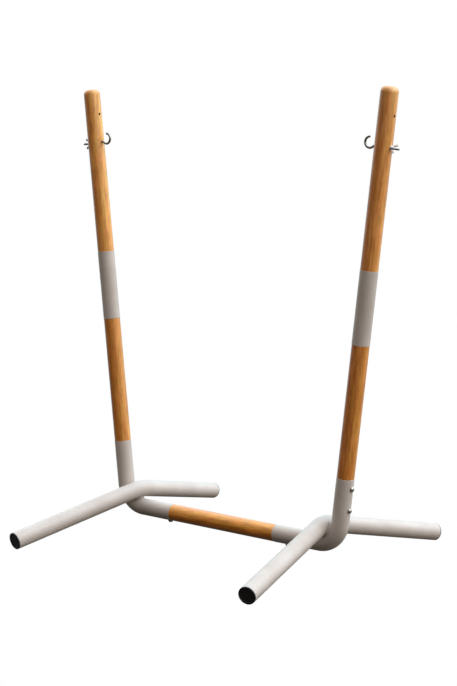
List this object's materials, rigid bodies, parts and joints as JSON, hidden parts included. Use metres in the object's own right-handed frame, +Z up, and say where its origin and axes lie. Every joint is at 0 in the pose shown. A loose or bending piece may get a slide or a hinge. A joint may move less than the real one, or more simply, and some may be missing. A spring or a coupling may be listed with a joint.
{
  "type": "hanging cradle stand",
  "caption": "Free-standing stand for a hanging cradle: leaning wooden pole masts in painted steel elbows and sleeves, a low wooden crossbar, bent tube feet and facing hook bolts.",
  "frame": {"origin": "on the floor, midway between the masts and between the front and rear foot ends", "axes": "+X along the crossbar to the right mast, +Y to the rear, +Z up"},
  "size_m": [1.3754, 1.0848, 1.5828],
  "materials": {
    "wood": "satin varnish over grain",
    "paint": "satin powder coat",
    "plastic": "moulded satin",
    "steel": "zinc plated"
  },
  "bodies": {
    "base": {"crossbar": "wood", "elbow_tube_left": "paint", "lower_pole_left": "wood", "foot_tube_left": "paint", "foot_cap_front_left": "plastic", "foot_cap_rear_left": "plastic", "pole_studs_left": "steel", "pole_cap_nuts_left": "steel", "crossbar_stud_left": "steel", "crossbar_cap_nut_left": "steel", "elbow_tube_right": "paint", "lower_pole_right": "wood", "foot_tube_right": "paint", "foot_cap_front_right": "plastic", "foot_cap_rear_right": "plastic", "pole_studs_right": "steel", "pole_cap_nuts_right": "steel", "crossbar_stud_right": "steel", "crossbar_cap_nut_right": "steel"},
    "sleeve_left": {"mast_sleeve_left": "paint"},
    "pole_left": {"upper_pole_left": "wood", "hook_washer_left": "steel"},
    "hook_left": {"hook_bolt_left": "steel"},
    "nut_left": {"wing_nut_left": "steel"},
    "sleeve_right": {"mast_sleeve_right": "paint"},
    "pole_right": {"upper_pole_right": "wood", "hook_washer_right": "steel"},
    "hook_right": {"hook_bolt_right": "steel"},
    "nut_right": {"wing_nut_right": "steel"}
  },
  "joints": [
    {"name": "mast_turn_left", "type": "hinge", "parent": "base", "child": "sleeve_left", "pos_m": [-0.55373, 0, 0.75671], "axis": [-0.1149, 0, 0.9934], "continuous": true},
    {"name": "mast_lift_left", "type": "slide", "parent": "sleeve_left", "child": "pole_left", "axis": [-0.1149, 0, 0.9934], "range_m": [0, 0.13]},
    {"name": "hook_turn_left", "type": "hinge", "parent": "pole_left", "child": "hook_left", "pos_m": [-0.62729, 0, 1.39247], "axis": [-0.9934, 0, -0.1149], "continuous": true},
    {"name": "wing_nut_spin_left", "type": "hinge", "parent": "hook_left", "child": "nut_left", "pos_m": [-0.62729, 0, 1.39247], "axis": [-0.9934, 0, -0.1149], "continuous": true},
    {"name": "mast_turn_right", "type": "hinge", "parent": "base", "child": "sleeve_right", "pos_m": [0.55373, 0, 0.75671], "axis": [0.1149, 0, 0.9934], "continuous": true},
    {"name": "mast_lift_right", "type": "slide", "parent": "sleeve_right", "child": "pole_right", "axis": [0.1149, 0, 0.9934], "range_m": [0, 0.13]},
    {"name": "hook_turn_right", "type": "hinge", "parent": "pole_right", "child": "hook_right", "pos_m": [0.62729, 0, 1.39247], "axis": [0.9934, 0, -0.1149], "continuous": true},
    {"name": "wing_nut_spin_right", "type": "hinge", "parent": "hook_right", "child": "nut_right", "pos_m": [0.62729, 0, 1.39247], "axis": [0.9934, 0, -0.1149], "continuous": true}
  ]
}
